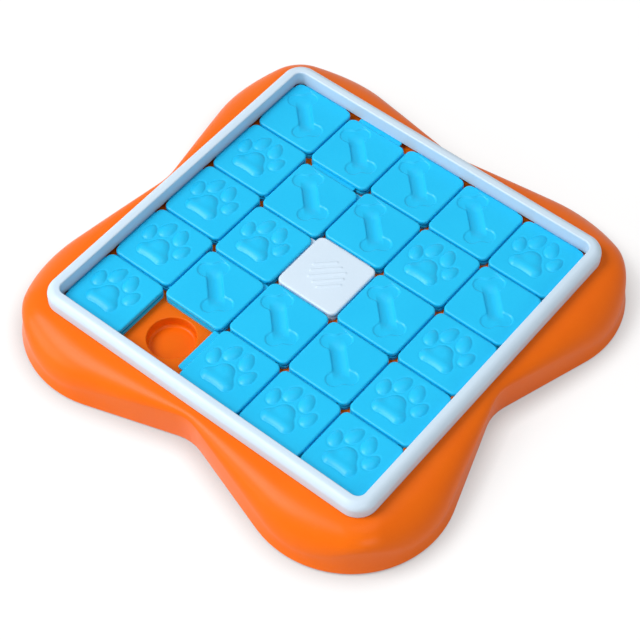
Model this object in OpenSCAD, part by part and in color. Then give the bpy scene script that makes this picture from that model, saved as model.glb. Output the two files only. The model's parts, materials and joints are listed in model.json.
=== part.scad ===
// Sliding tile treat board for a dog: a lobed base with twenty-five treat wells,
// a rim that is screwed down on it, and twenty-four captive tiles with one cell
// left free. +X runs along a row of tiles, +Y from the front row to the back
// row, and the feet stand on z = 0 under the middle of the board.

/* [Grid] */
// Distance between the centres of two neighbouring cells
pitch = 46; // [44:0.5:50]
// Gap between two neighbouring tiles
tile_gap = 1.3; // [0.8:0.1:2]
// Spare room between the outer cells and the inner wall of the rim
rim_gap = 1.2; // [0.2:0.1:1.6]

/* [Heights] */
// Height of the cell floor above the ground
floor_height = 27.5; // [25:0.5:32]
// Thickness of the deck under the cell floor
deck_thickness = 2.5; // [1.8:0.1:3]
// Height of the rim's seat above the cell floor
seat_rise = 4.2; // [3.9:0.1:4.5]

/* [Tile] */
// Height of a tile
tile_height = 7.2; // [6.8:0.1:8]
// Corner radius of a tile, seen from above
tile_corner = 4.5; // [3:0.1:6]
// Radius of the rolled top edge of a tile
tile_edge = 1.5; // [0.6:0.1:2]

/* [Tongue and groove] */
// How far a tongue stands out of its tile
tongue_reach = 5; // [4:0.1:5.4]
// Thickness of a tongue
tongue_thickness = 1.6; // [1:0.1:1.8]
// Depth of the tongue's top face below the top of the tile
tongue_drop = 2.8; // [2.6:0.1:3]
// Distance from a tile's corner to the nearer end of its tongue
tongue_start = 4.2; // [4:0.1:6]
// Distance from the grooved side of a tile to the other end of its tongue
tongue_end = 7; // [6.2:0.1:9]
// Depth of a groove
groove_depth = 5.4; // [4.6:0.1:6]
// Free room above and below a tongue in its groove
slide_clearance = 0.3; // [0.2:0.05:0.4]
// Free room in front of a tongue's tip under the rim
tongue_play = 0.6; // [0.3:0.1:0.8]
// Reach of the fixed rails that the tiles of the front row and the right column run on
rail_reach = 4.8; // [3.6:0.1:5]

/* [Slack] */
// How far the tile next to the free cell has crept towards it
creep_first = 5.5; // [0:0.1:8]
// The same for the second tile of that column
creep_second = 5.4; // [0:0.1:5.5]
// The same for the third tile
creep_third = 5.4; // [0:0.1:5.4]
// The same for the fourth tile
creep_fourth = 2.7; // [0:0.1:5.4]

/* [Paw] */
// Height of the palm above the tile
palm_rise = 1.6; // [0.6:0.1:2]
// Width of the palm
palm_width = 23; // [18:0.5:26]
// Length of the palm
palm_length = 17.7; // [14:0.1:20]
// Width of the palm's narrow end, between the toes
palm_crown = 11.6; // [8:0.1:14]
// Width of the rise in the middle of the palm
palm_belly = 14; // [8:0.5:16]
// Distance of the palm's middle from the middle of the tile
palm_drop = 4.8; // [3:0.1:6]
// Height of the toes above the tile
toe_rise = 1.3; // [0.5:0.1:2]
// Width of an inner toe
toe_width = 8.7; // [6:0.1:10]
// Length of an inner toe
toe_length = 13; // [11:0.5:15]
// Distance of an inner toe from the middle of the tile, sideways
inner_toe_out = 5.4; // [4.6:0.1:7]
// The same distance, ahead
inner_toe_ahead = 11; // [9:0.1:12]
// Width of an outer toe
outer_toe_width = 8; // [6:0.1:9]
// Length of an outer toe
outer_toe_length = 11.7; // [9.5:0.1:13]
// Distance of an outer toe from the middle of the tile, sideways
outer_toe_out = 13.1; // [11:0.1:14]
// The same distance, ahead
outer_toe_ahead = 2.8; // [1:0.1:5]
// Lean of each toe from straight ahead
toe_lean = 14; // [0:1:25]
// Distance of the paw to the left of the tile's middle
paw_aside = 1.2; // [0:0.1:1.5]

/* [Bone] */
// Depth of the bone in the tile
bone_depth = 1.5; // [0.6:0.1:1.8]
// Radius of the bone's four knuckles
knuckle_radius = 5.1; // [4:0.1:5.4]
// Distance from the middle of the bone to the middle of each end
bone_half_length = 13.5; // [11:0.1:14]
// Half the distance between the two knuckles of one end
knuckle_spread = 4.9; // [3:0.1:5.2]
// Width of the shaft
shaft_width = 9.8; // [6:0.1:10]
// Distance of the bone to the left of the tile's middle
bone_aside = 1; // [0:0.1:1.2]
// Distance of the bone behind the tile's middle
bone_behind = 1.6; // [0:0.1:2]

/* [White tile] */
// Number of grip ribs on the white tile
grip_count = 5; // [3:1:7]
// Length of the middle grip rib
grip_length = 24; // [12:0.5:28]
// Width of a grip rib
grip_width = 1.6; // [1:0.1:2.4]
// Distance between two grip ribs
grip_step = 4.4; // [3:0.1:5]
// Height of a grip rib above the tile
grip_rise = 0.6; // [0.3:0.1:1]
// How much shorter each grip rib is than its neighbour nearer the middle
grip_taper = 4; // [0:0.5:6]

/* [Treat well] */
// Diameter of a treat well
well_diameter = 30.4; // [24:0.2:34]
// Depth of a treat well below the cell floor
well_depth = 8; // [5:0.5:10]
// Wall of the cup that forms a treat well
cup_wall = 2.2; // [1.6:0.1:2.6]

/* [Rim] */
// Width of the rim
rim_width = 8.2; // [7.6:0.1:10]
// Height of the rim above the tiles
rim_rise = 8.3; // [5:0.1:12]
// Outer corner radius of the rim
rim_corner = 13.5; // [11.5:0.5:16]
// Radius of the rolled outer top edge of the rim
rim_roll = 5.4; // [2:0.1:6]
// Radius of the inner top edge of the rim
rim_edge = 1; // [0.4:0.1:1.4]
// Width of the locating lip under the rim
lip_width = 1.6; // [1.2:0.1:1.8]
// Height of the locating lip
lip_height = 2.4; // [1.5:0.1:3]
// Play round the locating lip
lip_play = 0.2; // [0.1:0.05:0.3]
// Distance of the locating lip from the outer face of the rim
lip_inset = 0.4; // [0.3:0.1:0.5]

/* [Base shell] */
// Wall thickness of the base shell
shell_wall = 2.4; // [1.8:0.1:3]
// Distance of a lobe's centre from the middle planes of the board
lobe_centre = 88; // [86:0.5:90]
// Radius of a lobe at the foot of the wall
lobe_radius = 65; // [63:0.5:67]
// How much narrower a lobe is at the top of the wall
lobe_draft = 2; // [0:0.1:4]
// Half width of the waist between two lobes at the foot of the wall
waist_low = 129; // [127:0.5:132]
// Half width of the waist at the top of the wall
waist_high = 131; // [129:0.5:136]
// Radius of the hollow at the waist
hollow_radius = 28; // [20:1:34]
// Width of the flat ledge between the rim and the shoulder
ledge_width = 2; // [1:0.1:2.5]
// Thickness of the shell's roof beside the rim
roof_thickness = 4.4; // [3.5:0.1:5]
// Drop of the rolled shoulder for each millimetre of its width
shoulder_slope = 0.75; // [0.45:0.05:0.85]
// Gap between the ground and the lower edge of the shell
ground_gap = 1; // [0.5:0.1:2]

/* [Ribs and feet] */
// Thickness of the stiffening ribs under the deck
rib_thickness = 1.8; // [1.2:0.1:2.4]
// Depth of the stiffening ribs
rib_depth = 6; // [3:0.5:8]
// Diameter of a foot's post
post_diameter = 17; // [16.5:0.5:18]
// Diameter of a rubber foot
foot_diameter = 13; // [10:0.5:14]
// Height of a rubber foot's pad
foot_height = 3.6; // [2.5:0.1:5]
// Diameter of a foot's stem
stem_diameter = 5; // [4:0.1:7]
// Length of a foot's stem
stem_length = 6; // [4:0.5:9]
// Gap between the ground and the lower end of a foot's post
post_gap = 1.5; // [1:0.1:2]
// Play round a rubber foot and its stem
foot_play = 0.15; // [0.1:0.05:0.3]
// Distance of a foot from the middle plane that it is farther from
foot_out = 131; // [129:0.5:132]
// Distance of a foot from the other middle plane
foot_side = 92; // [88:0.5:96]

/* [Screws] */
// Distance of a rim screw from both middle planes
screw_place = 116.5; // [116.3:0.1:116.8]
// Shank diameter of a rim screw
screw_diameter = 2.9; // [2.5:0.1:3]
// Length of a rim screw under its head
screw_length = 13; // [11:0.5:15]
// Head diameter of a rim screw
screw_head = 5.6; // [5:0.1:6]
// Head height of a rim screw
screw_head_height = 2; // [1.5:0.1:2.5]
// Length of the cross slot in a screw's head
slot_length = 3.2; // [2.4:0.1:4]
// Width of the cross slot
slot_width = 0.8; // [0.5:0.1:1.2]
// Depth of the cross slot
slot_depth = 0.9; // [0.5:0.1:1.2]
// Play round the shank of a rim screw in the base
screw_play = 0.2; // [0.1:0.05:0.3]
// Play round the shank in the rim, where its thread grips
thread_play = 0.05; // [0.02:0.01:0.1]
// Free depth of the screw hole in the rim beyond the screw's tip
tip_play = 0.4; // [0.2:0.1:1]

/* [Hidden] */
cells = 5;
middle_cell = 2;
free_column = 1;
free_row = 0;
round_fn = 64;

// The tile in each cell, rows from the front, columns from the left:
// "p" a paw, "b" a bone, "w" the plain white tile and "-" the free cell.
layout = ["p-ppp", "pbbbp", "ppwbp", "pbbpb", "bbbbp"];
creep = [0, creep_first, creep_second, creep_third, creep_fourth];

tile_size = pitch - tile_gap;
tile_half = tile_size / 2;
inner_half = cells * pitch / 2 + rim_gap;
rim_half = inner_half + rim_width;
seat_height = floor_height + seat_rise;
tile_top = floor_height + tile_height;
rim_top = tile_top + rim_rise;
well_floor = floor_height - well_depth;
cup_radius = well_diameter / 2 + cup_wall;
cup_bottom = well_floor - cup_wall;
deck_bottom = floor_height - deck_thickness;
rib_low = deck_bottom - rib_depth;

tongue_top = tile_top - tongue_drop;
groove_top = tongue_top + slide_clearance;
groove_low = tongue_top - tongue_thickness - slide_clearance;
// The pocket reaches under the rim on the two sides where tongues stick out.
pocket_reach = tongue_reach - tile_gap / 2 - rim_gap + tongue_play;
pocket_end = inner_half - tongue_start / 2;

// The core of the base stands a little past the rim. The shell starts inside it,
// a hair lower, so that no two faces lie in one plane.
core_half = rim_half + ledge_width;
core_corner = rim_corner + ledge_width;
shell_root = 1;
step_down = 0.02;
// Overlap of two shapes that are one piece, and overshoot of a cut past a face
seam = 0.1;
beyond = 1;
// Depth to which a raised paw is rooted in its tile
relief_root = 0.5;
around = 120;
outer_rolls = 5;
inner_rolls = 3;

foot_places = [for (turn = [0:3], side = [-1, 1]) [turn * 90, side]];
post_top = seat_height - roof_thickness + seam;
screw_tip = deck_bottom + screw_length;

// ---- Names -----------------------------------------------------------------

kinds = [["p", "paw_tile"], ["b", "bone_tile"], ["w", "white_tile"]];
function kind_name(mark) = [for (k = kinds) if (k[0] == mark) k[1]][0];
function tile_name(c, r) = str(kind_name(layout[r][c]), "_r", r + 1, "c", c + 1);
places = [for (r = [0:cells - 1], c = [0:cells - 1]) if (layout[r][c] != "-") [c, r]];
foot_names = ["foot_right_front", "foot_right_back", "foot_back_right", "foot_back_left",
              "foot_left_back", "foot_left_front", "foot_front_left", "foot_front_right"];

// ---- Outlines --------------------------------------------------------------

// A square with rounded corners, centred, of half width half.
module rounded_square(half, corner) {
    square([2 * half, 2 * (half - corner)], center = true);
    square([2 * (half - corner), 2 * half], center = true);
    for (x = [-1, 1], y = [-1, 1])
        translate([x * (half - corner), y * (half - corner)]) circle(corner, $fn = round_fn);
}

// The locating lip under the rim, seen from above, widened by play all round.
module lip_outline(play) {
    difference() {
        rounded_square(rim_half - lip_inset + play, rim_corner - lip_inset + play);
        rounded_square(rim_half - lip_inset - lip_width - play, rim_corner - lip_inset - lip_width - play);
    }
}

// The profile in the children, drawn with its outer face at x = 0 and its body
// at negative x, carried round a rounded square of half width half.
module carry_round(half, corner) {
    for (turn = [0:3]) rotate([0, 0, 90 * turn]) {
        translate([half - corner, half - corner, 0])
            rotate_extrude(angle = 90, $fn = round_fn) translate([corner, 0]) children();
        translate([half, half - corner, 0])
            rotate([90, 0, 0]) linear_extrude(2 * (half - corner)) children();
    }
}

// Distance from the middle to a rounded square, in direction a.
function square_reach(a, half, corner) =
    let (t = abs(((a + 45) % 90 + 90) % 90 - 45),
         k = half - corner,
         flat = half / cos(t))
    flat * sin(t) <= k ? flat
        : k * sqrt(2) * cos(45 - t) + sqrt(corner * corner - pow(k * sqrt(2) * sin(45 - t), 2));

// Distance from the middle to the lobed outline, in direction a. A straight
// flank runs from the hollow at each waist to the round lobe beside it, and
// touches both without a corner. The outline is drawn inset from these sizes.
function lobed_reach(a, inset, waist) =
    let (t = abs(((a + 45) % 90 + 90) % 90 - 45),
         radius = lobe_radius - inset,
         hollow = hollow_radius + inset,
         far = waist + hollow,
         slant = atan2(lobe_centre, far - lobe_centre)
             - acos((radius + hollow) / norm([far - lobe_centre, lobe_centre])),
         d = lobe_centre * sqrt(2))
    t < atan2(hollow * sin(slant), far - hollow * cos(slant))
        ? far * cos(t) - sqrt(hollow * hollow - pow(far * sin(t), 2))
    : t < atan2(lobe_centre - radius * sin(slant), lobe_centre + radius * cos(slant))
        ? (lobe_centre * (cos(slant) - sin(slant)) + radius) / cos(t + slant)
    : d * cos(45 - t) + sqrt(radius * radius - pow(d * sin(45 - t), 2));

// ---- Base shell ------------------------------------------------------------

// Section of the shell in direction a, as [distance from the middle, height]:
// over the ledge beside the rim, down the rolled shoulder and the wall, and
// back up the inside.
function shell_section(a) =
    let (ledge = square_reach(a, core_half, core_corner),
         start = square_reach(a, core_half - shell_root, core_corner - shell_root),
         high = lobed_reach(a, lobe_draft, waist_high),
         low = lobed_reach(a, 0, waist_low),
         high_in = lobed_reach(a, lobe_draft + shell_wall, waist_high - shell_wall),
         low_in = lobed_reach(a, shell_wall, waist_low - shell_wall),
         drop = shoulder_slope * (high - ledge),
         roof = seat_height - roof_thickness)
    concat(
        [[start, seat_height - step_down]],
        [for (k = [0:outer_rolls]) let (s = 90 * k / outer_rolls)
            [ledge + (high - ledge) * sin(s), seat_height - step_down - drop * (1 - cos(s))]],
        [[low, ground_gap], [low_in, ground_gap]],
        [for (k = [inner_rolls:-1:0]) let (s = 90 * k / inner_rolls)
            [start + (high_in - start) * sin(s), roof - drop * (1 - cos(s))]]);

// The shell as one closed skin: sections side by side, each joined to the next.
module shell() {
    points = [for (i = [0:around - 1]) let (a = i * 360 / around)
        for (p = shell_section(a)) [p[0] * cos(a), p[0] * sin(a), p[1]]];
    n = len(points) / around;
    polyhedron(points, [for (i = [0:around - 1], k = [0:n - 1])
        let (j = (i + 1) % around, m = (k + 1) % n)
        [i * n + k, j * n + k, j * n + m, i * n + m]], convexity = 8);
}

// ---- Base ------------------------------------------------------------------

module at_cells() {
    for (c = [0:cells - 1], r = [0:cells - 1])
        translate([(c - middle_cell) * pitch, (r - middle_cell) * pitch, 0]) children();
}

module at_foot(f) {
    rotate([0, 0, f[0]]) translate([foot_out, f[1] * foot_side, 0]) children();
}

module at_screws() {
    for (x = [-1, 1], y = [-1, 1])
        translate([x * screw_place, y * screw_place, 0]) children();
}

// The deck with its seat for the rim, the cups of the wells, the ribs between
// them and the posts of the feet.
module core() {
    translate([0, 0, deck_bottom])
        linear_extrude(seat_height - deck_bottom) rounded_square(core_half, core_corner);
    at_cells() translate([0, 0, cup_bottom])
        cylinder(h = deck_bottom - cup_bottom + seam, r = cup_radius, $fn = round_fn);
    for (turn = [0, 90], k = [0:cells - 2]) rotate([0, 0, turn])
        translate([(k - middle_cell + 0.5) * pitch - rib_thickness / 2, -core_half + core_corner, rib_low])
            cube([rib_thickness, 2 * (core_half - core_corner), deck_bottom - rib_low + seam]);
    for (f = foot_places) at_foot(f) translate([0, 0, post_gap])
        cylinder(h = post_top - post_gap, d = post_diameter, $fn = round_fn);
}

// The space that the tiles slide in, with the rails left standing on the two
// sides where the tiles carry their grooves.
module tile_pocket() {
    depth = seat_height - floor_height + beyond;
    rail_low = tongue_top - tongue_thickness;
    difference() {
        translate([0, 0, floor_height]) linear_extrude(depth)
            rounded_square(inner_half, rim_corner - rim_width);
        translate([inner_half - rail_reach, -inner_half - beyond, rail_low])
            cube([rail_reach + beyond, 2 * (inner_half + beyond), depth]);
        translate([-inner_half - beyond, -inner_half - beyond, rail_low])
            cube([2 * (inner_half + beyond), rail_reach + beyond, depth]);
    }
    translate([-inner_half - pocket_reach, -pocket_end, floor_height])
        cube([pocket_reach + tile_half, 2 * pocket_end, depth]);
    translate([-pocket_end, inner_half - tile_half, floor_height])
        cube([2 * pocket_end, pocket_reach + tile_half, depth]);
}

module base() {
    color("darkorange") {
        shell();
        difference() {
            core();
            tile_pocket();
            at_cells() translate([0, 0, well_floor])
                cylinder(h = floor_height - well_floor + seam, d = well_diameter, $fn = round_fn);
            // groove for the rim's locating lip
            translate([0, 0, seat_height - lip_height - lip_play]) linear_extrude(lip_height + beyond)
                lip_outline(lip_play);
            at_screws() translate([0, 0, deck_bottom - beyond])
                cylinder(h = seat_height - deck_bottom + 2 * beyond, d = screw_diameter + 2 * screw_play,
                         $fn = round_fn);
            for (f = foot_places) at_foot(f) {
                translate([0, 0, post_gap - beyond])
                    cylinder(h = foot_height - post_gap + beyond, d = foot_diameter + 2 * foot_play,
                             $fn = round_fn);
                translate([0, 0, foot_height - beyond])
                    cylinder(h = stem_length + beyond + foot_play, d = stem_diameter + 2 * foot_play,
                             $fn = round_fn);
            }
        }
    }
}

// ---- Rim -------------------------------------------------------------------

// Section of the rim, with its outer face at x = 0.
module rim_section() {
    height = rim_top - seat_height;
    difference() {
        translate([-rim_width, 0]) square([rim_width, height]);
        translate([-rim_roll, height - rim_roll]) square(rim_roll + beyond);
        translate([-rim_width - beyond, height - rim_edge]) square(rim_edge + beyond);
    }
    intersection() {
        translate([-rim_roll, height - rim_roll]) circle(rim_roll, $fn = round_fn);
        translate([-rim_roll, height - rim_roll]) square(rim_roll);
    }
    intersection() {
        translate([rim_edge - rim_width, height - rim_edge]) circle(rim_edge, $fn = round_fn);
        translate([-rim_width, height - rim_edge]) square(rim_edge);
    }
}

module rim() {
    undercut = groove_top - seat_height;
    color("aliceblue") difference() {
        union() {
            translate([0, 0, seat_height]) carry_round(rim_half, rim_corner) rim_section();
            translate([0, 0, seat_height - lip_height]) linear_extrude(lip_height + seam) lip_outline(0);
        }
        // room over the tongues of the left column and the back row
        translate([-inner_half - pocket_reach, -pocket_end, seat_height - seam])
            cube([pocket_reach + tile_half, 2 * pocket_end, undercut + seam]);
        translate([-pocket_end, inner_half - tile_half, seat_height - seam])
            cube([2 * pocket_end, pocket_reach + tile_half, undercut + seam]);
        at_screws() translate([0, 0, seat_height - beyond])
            cylinder(h = screw_tip + tip_play + beyond - seat_height, d = screw_diameter + 2 * thread_play,
                     $fn = round_fn);
    }
}

module rim_screws() {
    color("silver") at_screws() {
        translate([0, 0, deck_bottom]) cylinder(h = screw_length, d = screw_diameter, $fn = round_fn);
        translate([0, 0, deck_bottom - screw_head_height]) difference() {
            cylinder(h = screw_head_height, d = screw_head, $fn = round_fn);
            for (turn = [0, 90]) rotate([0, 0, turn])
                translate([-slot_length / 2, -slot_width / 2, -seam])
                    cube([slot_length, slot_width, slot_depth + seam]);
        }
    }
}

// ---- Feet ------------------------------------------------------------------

module foot() {
    cylinder(h = foot_height, d = foot_diameter, $fn = round_fn);
    translate([0, 0, foot_height - seam])
        cylinder(h = stem_length + seam, d = stem_diameter, $fn = round_fn);
}

module foot_at(k) {
    color("dimgray") at_foot(foot_places[k]) foot();
}

// ---- Tiles -----------------------------------------------------------------

// Section of a bar with two rolled top edges, width wide.
module bar_section(width) {
    translate([-width / 2, 0]) square([width, tile_height - tile_edge]);
    translate([tile_edge - width / 2, 0]) square([width - 2 * tile_edge, tile_height]);
    for (x = [-1, 1]) translate([x * (width / 2 - tile_edge), tile_height - tile_edge])
        circle(tile_edge, $fn = round_fn);
}

module tile_slab() {
    straight = tile_size - 2 * tile_corner;
    for (turn = [0, 90]) rotate([0, 0, turn]) translate([0, straight / 2, 0])
        rotate([90, 0, 0]) linear_extrude(straight) bar_section(tile_size);
    for (x = [-1, 1], y = [-1, 1]) translate([x * straight / 2, y * straight / 2, 0])
        rotate_extrude($fn = round_fn) intersection() {
            bar_section(2 * tile_corner);
            square([tile_corner, tile_height]);
        }
}

// The slab with its tongues on the left and back sides and its grooves on the
// right and front sides. Every tile runs on its neighbours' tongues.
module tile_body() {
    tongue_low = tongue_top - tongue_thickness - floor_height;
    tongue_span = tile_size - tongue_start - tongue_end;
    difference() {
        tile_slab();
        translate([tile_half - groove_depth, -tile_half - beyond, groove_low - floor_height])
            cube([groove_depth + beyond, tile_size + 2 * beyond, groove_top - groove_low]);
        translate([-tile_half - beyond, -tile_half - beyond, groove_low - floor_height])
            cube([tile_size + 2 * beyond, groove_depth + beyond, groove_top - groove_low]);
    }
    translate([-tile_half - tongue_reach, tongue_end - tile_half, tongue_low])
        cube([tongue_reach + tile_corner, tongue_span, tongue_thickness]);
    translate([tongue_start - tile_half, tile_half - tile_corner, tongue_low])
        cube([tongue_span, tongue_reach + tile_corner, tongue_thickness]);
}

// Radius of the sphere whose cap is radius wide and rise high.
function cap_ball(radius, rise) = (radius * radius + rise * rise) / (2 * rise);

// The sphere whose cap stands rise above the top of a tile.
module cap(radius, rise) {
    ball = cap_ball(radius, rise);
    translate([0, 0, tile_height + rise - ball]) sphere(ball, $fn = round_fn);
}

// A toe, with its middle between two caps, one behind the other.
module toe(width, length) {
    for (y = [-1, 1]) translate([0, y * (length - width) / 2, 0]) cap(width / 2, toe_rise);
}

module toes() {
    for (x = [-1, 1]) {
        translate([x * outer_toe_out, outer_toe_ahead, 0]) rotate([0, 0, -x * toe_lean])
            toe(outer_toe_width, outer_toe_length);
        translate([x * inner_toe_out, inner_toe_ahead, 0]) rotate([0, 0, x * toe_lean])
            toe(toe_width, toe_length);
    }
}

module palm() {
    heel = palm_width / 4;
    for (x = [-1, 1]) translate([x * heel, heel - palm_length / 2, 0]) cap(heel, toe_rise);
    translate([0, (palm_length - palm_crown) / 2, 0]) cap(palm_crown / 2, toe_rise);
    cap(palm_belly / 2, palm_rise);
}

// The raised paw: what its caps show above the tile, rooted a little inside it.
module paw() {
    intersection() {
        translate([-tile_half, -tile_half, tile_height - relief_root])
            cube([tile_size, tile_size, relief_root + palm_rise + seam]);
        translate([-paw_aside, 0, 0]) {
            toes();
            translate([0, -palm_drop, 0]) palm();
        }
    }
}

// The hollow of the bone, lying from the back left to the front right corner.
module bone() {
    ball = cap_ball(knuckle_radius, bone_depth);
    barrel = cap_ball(shaft_width / 2, bone_depth);
    translate([-bone_aside, bone_behind, 0]) rotate([0, 0, -45]) {
        for (x = [-1, 1], y = [-1, 1])
            translate([x * bone_half_length, y * knuckle_spread, tile_height - bone_depth + ball])
                sphere(ball, $fn = round_fn);
        translate([-bone_half_length, 0, tile_height - bone_depth + barrel]) rotate([0, 90, 0])
            cylinder(h = 2 * bone_half_length, r = barrel, $fn = round_fn);
    }
}

module paw_tile() {
    color("deepskyblue") {
        tile_body();
        paw();
    }
}

module bone_tile() {
    color("deepskyblue") difference() {
        tile_body();
        bone();
    }
}

// A plain tile with a few grip ribs, the middle one longest.
module white_tile() {
    color("white") {
        tile_body();
        rotate([0, 0, 45]) for (k = [0:grip_count - 1]) {
            off = k - (grip_count - 1) / 2;
            reach = grip_length - grip_taper * abs(off);
            translate([-reach / 2, off * grip_step - grip_width / 2, tile_height - seam])
                cube([reach, grip_width, grip_rise + seam]);
        }
    }
}

module tile_at(c, r) {
    mark = layout[r][c];
    slack = c == free_column ? creep[r - free_row] : 0;
    translate([(c - middle_cell) * pitch, (r - middle_cell) * pitch - slack, floor_height]) {
        if (mark == "p") paw_tile();
        if (mark == "b") bone_tile();
        if (mark == "w") white_tile();
    }
}

base();
rim();
rim_screws();
for (k = [0:len(foot_names) - 1])
    foot_at(k);
for (p = places)
    tile_at(p[0], p[1]);
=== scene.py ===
# %% [markdown]
# # A sliding treat board, dressed in its CAD frame
# The board is one orange moulding with a screwed-on rim. Twenty-four tiles slide between them,
# and round wells under the tiles hold the treats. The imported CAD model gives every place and
# every moving body. This lesson puts a finished skin on each part: finer curves, soft edges,
# reliefs and moulded plastic. Nothing is fitted by eye, because both models share one frame.

# %% Load the frame
import json
import math

import bmesh
import bpy
from mathutils import Matrix, Vector

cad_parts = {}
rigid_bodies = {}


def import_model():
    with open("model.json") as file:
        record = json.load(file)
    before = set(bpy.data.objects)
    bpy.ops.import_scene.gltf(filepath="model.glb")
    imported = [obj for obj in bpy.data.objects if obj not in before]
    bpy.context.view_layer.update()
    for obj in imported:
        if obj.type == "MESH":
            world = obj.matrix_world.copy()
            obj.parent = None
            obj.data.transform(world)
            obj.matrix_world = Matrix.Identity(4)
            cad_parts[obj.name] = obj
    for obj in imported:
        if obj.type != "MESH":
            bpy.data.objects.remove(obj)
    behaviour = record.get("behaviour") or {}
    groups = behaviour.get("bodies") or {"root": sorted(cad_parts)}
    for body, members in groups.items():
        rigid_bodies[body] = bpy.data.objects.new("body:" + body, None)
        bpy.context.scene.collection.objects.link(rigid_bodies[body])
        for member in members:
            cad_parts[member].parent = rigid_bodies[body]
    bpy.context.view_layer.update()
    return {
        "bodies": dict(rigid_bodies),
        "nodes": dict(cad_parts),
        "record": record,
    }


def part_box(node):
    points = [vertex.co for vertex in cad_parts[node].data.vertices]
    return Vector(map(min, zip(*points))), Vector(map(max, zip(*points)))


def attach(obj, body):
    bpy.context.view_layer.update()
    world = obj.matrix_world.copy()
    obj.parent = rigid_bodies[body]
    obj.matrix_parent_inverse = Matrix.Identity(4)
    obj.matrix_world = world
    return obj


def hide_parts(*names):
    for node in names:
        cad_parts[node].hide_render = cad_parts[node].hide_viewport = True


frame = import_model()
print("nodes", len(frame["nodes"]), "bodies", len(frame["bodies"]))

# %% [markdown]
# ## Sizes
# Places come from the boxes of the CAD nodes, so the skin follows the frame. What a box can't
# tell, such as a radius, is a named value. All lengths are in metres, and MM lets them be
# written in millimetres. The rim stands on the SEAT and the tiles slide on the FLOOR. A tile's
# box takes in its tongues, which stand out of two of its four sides.

# %% Sizes from the frame
MM = 0.001
_, base_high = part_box("base")
_, rim_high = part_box("rim")
tile_low, tile_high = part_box("bone_tile_r2c3")

SEAT = base_high.z
RIM_HALF = rim_high.x
RIM_TOP = rim_high.z
FLOOR = tile_low.z
TILE_TOP = tile_high.z
TILE_HEIGHT = TILE_TOP - FLOOR
TONGUE_REACH = 5 * MM
TILE_HALF = (tile_high.x - tile_low.x - TONGUE_REACH) / 2
print("seat", SEAT, "rim half", RIM_HALF, "floor", FLOOR, "tile half", TILE_HALF)

# %% [markdown]
# The core is the square block in the middle of the base. It stands out past the rim by a
# ledge, where the lobed shell begins. HAIR is a step too small to see, which keeps two faces
# out of one plane, and BEYOND is how far a cutter runs past what it cuts.

# %% Sizes that several parts share
RIM_WIDTH = 8.2 * MM
RIM_CORNER = 13.5 * MM
INNER_HALF = RIM_HALF - RIM_WIDTH
LEDGE = 2 * MM
CORE_HALF = RIM_HALF + LEDGE
CORE_CORNER = RIM_CORNER + LEDGE
ROOF = SEAT - 4.4 * MM
DECK_BOTTOM = FLOOR - 2.5 * MM
HAIR = 0.02 * MM
BEYOND = 1 * MM
QUARTER = math.pi / 2
print("core half", CORE_HALF, "roof", ROOF, "deck bottom", DECK_BOTTOM)

# %% [markdown]
# ## A few helpers
# bpy.ops works on what is selected, as a person at the screen does. After the frame is loaded
# its nodes are still selected, so each primitive starts with nothing else selected. In edit
# mode the faces and edges are then selected in code, by their place or their normal.

# %% Helpers for selecting
def start():
    """Leaves edit mode and selects nothing, ready for a new primitive."""
    if bpy.context.object and bpy.context.object.mode != "OBJECT":
        bpy.ops.object.mode_set(mode="OBJECT")
    bpy.ops.object.select_all(action="DESELECT")


def take(piece):
    """Selects one piece alone and makes it the active one."""
    start()
    piece.select_set(True)
    bpy.context.view_layer.objects.active = piece


def edit(piece):
    """Enters edit mode on one piece."""
    take(piece)
    bpy.ops.object.mode_set(mode="EDIT")


def done(name=None):
    """Leaves edit mode and returns the piece."""
    bpy.ops.object.mode_set(mode="OBJECT")
    piece = bpy.context.object
    if name:
        piece.name = name
        piece.data.name = name
    return piece


def choose(kind, wanted):
    """In edit mode, selects the EDGE or FACE items for which wanted(item) is true."""
    bpy.ops.mesh.select_mode(type=kind)
    bpy.ops.mesh.select_all(action="DESELECT")
    net = bmesh.from_edit_mesh(bpy.context.object.data)
    for item in {"EDGE": net.edges, "FACE": net.faces}[kind]:
        if wanted(item):
            item.select_set(True)
    net.select_flush_mode()
    bmesh.update_edit_mesh(bpy.context.object.data)


# %% Helpers for cutting and finishing
WELD_GAP = 0.001 * MM


def outward():
    """Welds doubles and turns every face outwards, in edit mode."""
    bpy.ops.mesh.select_all(action="SELECT")
    bpy.ops.mesh.remove_doubles(threshold=WELD_GAP)
    bpy.ops.mesh.normals_make_consistent(inside=False)


def apply_modifier(piece, kind, **settings):
    """Adds a modifier with these settings and applies it."""
    take(piece)
    modifier = piece.modifiers.new(kind.lower(), kind)
    for name, value in settings.items():
        setattr(modifier, name, value)
    bpy.ops.object.modifier_apply(modifier=modifier.name)


def combine(piece, tool, operation):
    """Joins the tool to the piece or cuts it away, and deletes the tool."""
    apply_modifier(piece, "BOOLEAN", operation=operation, object=tool, solver="EXACT")
    bpy.data.objects.remove(tool)


def weld(piece, tool):
    combine(piece, tool, "UNION")


def carve(piece, tool):
    combine(piece, tool, "DIFFERENCE")


def smooth(piece, angle=35):
    """Shades curved faces smooth, keeps edges crisp and flat faces flat."""
    take(piece)
    bpy.ops.object.shade_smooth_by_angle(angle=math.radians(angle))
    apply_modifier(piece, "WEIGHTED_NORMAL", keep_sharp=True, weight=100)
    print(piece.name, len(piece.data.polygons), "faces")


def close_up(piece, name):
    """Welds and orients a cut piece, names it and shades it."""
    edit(piece)
    outward()
    piece = done(name)
    smooth(piece)
    return piece


# %% Helpers for simple bodies
def block(low, high):
    """A box between two corners."""
    start()
    low, high = Vector(low), Vector(high)
    bpy.ops.mesh.primitive_cube_add(size=1, location=(low + high) / 2)
    piece = bpy.context.object
    piece.scale = high - low
    bpy.ops.object.transform_apply(location=True, rotation=True, scale=True)
    return piece


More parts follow.
